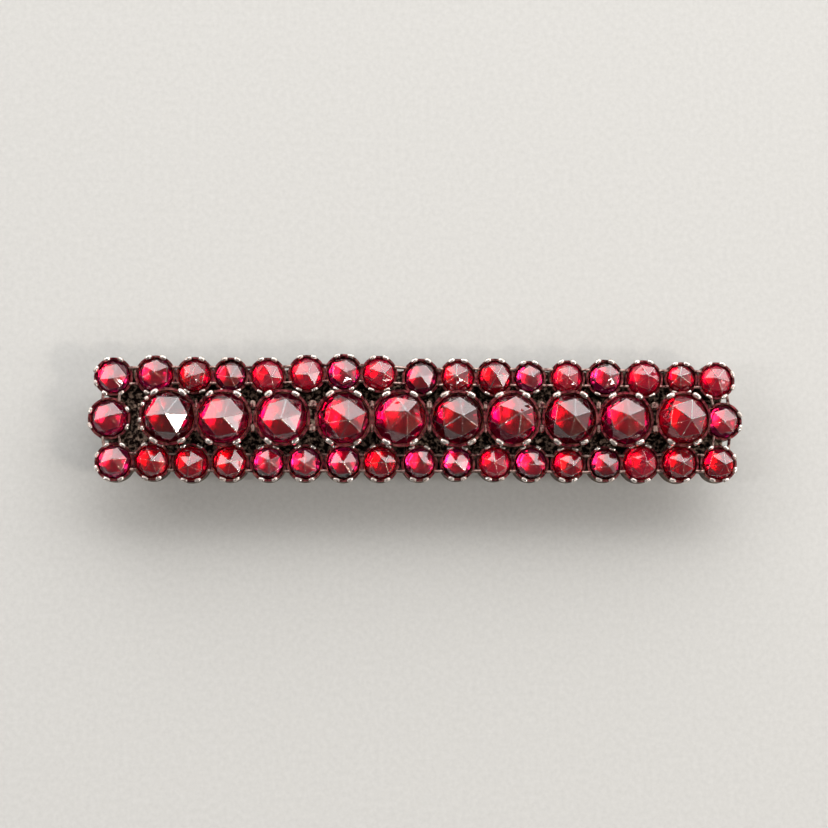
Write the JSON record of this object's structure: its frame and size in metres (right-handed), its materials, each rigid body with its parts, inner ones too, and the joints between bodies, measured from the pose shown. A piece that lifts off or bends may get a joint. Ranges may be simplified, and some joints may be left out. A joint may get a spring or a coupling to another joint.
{
  "type": "bar brooch",
  "caption": "Straight bar brooch: a border of small rose-cut red stones round a raised row of larger ones in dark gilt metal, with a plain pin, hinge and catch behind",
  "frame": {"origin": "middle of the bar's outline, on the surface that the brooch lies on, under its hinge and catch", "axes": "X along the bar towards the hinge end, Y across the face towards the upper border row, Z out of the face towards the viewer"},
  "size_m": [0.0501, 0.01, 0.0068],
  "materials": {
    "gilt_tombac": "darkened gilt, worn bright on the grains",
    "garnet": "polished deep red, rose cut"
  },
  "bodies": {
    "root": {"border_setting": "gilt_tombac", "centre_setting": "gilt_tombac", "pin": "gilt_tombac", "garnet_left_end": "garnet", "garnet_right_end": "garnet", "garnet_top_1": "garnet", "garnet_top_2": "garnet", "garnet_top_3": "garnet", "garnet_top_4": "garnet", "garnet_top_5": "garnet", "garnet_top_6": "garnet", "garnet_top_7": "garnet", "garnet_top_8": "garnet", "garnet_top_9": "garnet", "garnet_top_10": "garnet", "garnet_top_11": "garnet", "garnet_top_12": "garnet", "garnet_top_13": "garnet", "garnet_top_14": "garnet", "garnet_top_15": "garnet", "garnet_top_16": "garnet", "garnet_top_17": "garnet", "garnet_bottom_1": "garnet", "garnet_bottom_2": "garnet", "garnet_bottom_3": "garnet", "garnet_bottom_4": "garnet", "garnet_bottom_5": "garnet", "garnet_bottom_6": "garnet", "garnet_bottom_7": "garnet", "garnet_bottom_8": "garnet", "garnet_bottom_9": "garnet", "garnet_bottom_10": "garnet", "garnet_bottom_11": "garnet", "garnet_bottom_12": "garnet", "garnet_bottom_13": "garnet", "garnet_bottom_14": "garnet", "garnet_bottom_15": "garnet", "garnet_bottom_16": "garnet", "garnet_bottom_17": "garnet", "garnet_centre_1": "garnet", "garnet_centre_2": "garnet", "garnet_centre_3": "garnet", "garnet_centre_4": "garnet", "garnet_centre_5": "garnet", "garnet_centre_6": "garnet", "garnet_centre_7": "garnet", "garnet_centre_8": "garnet", "garnet_centre_9": "garnet", "garnet_centre_10": "garnet"}
  },
  "joints": []
}
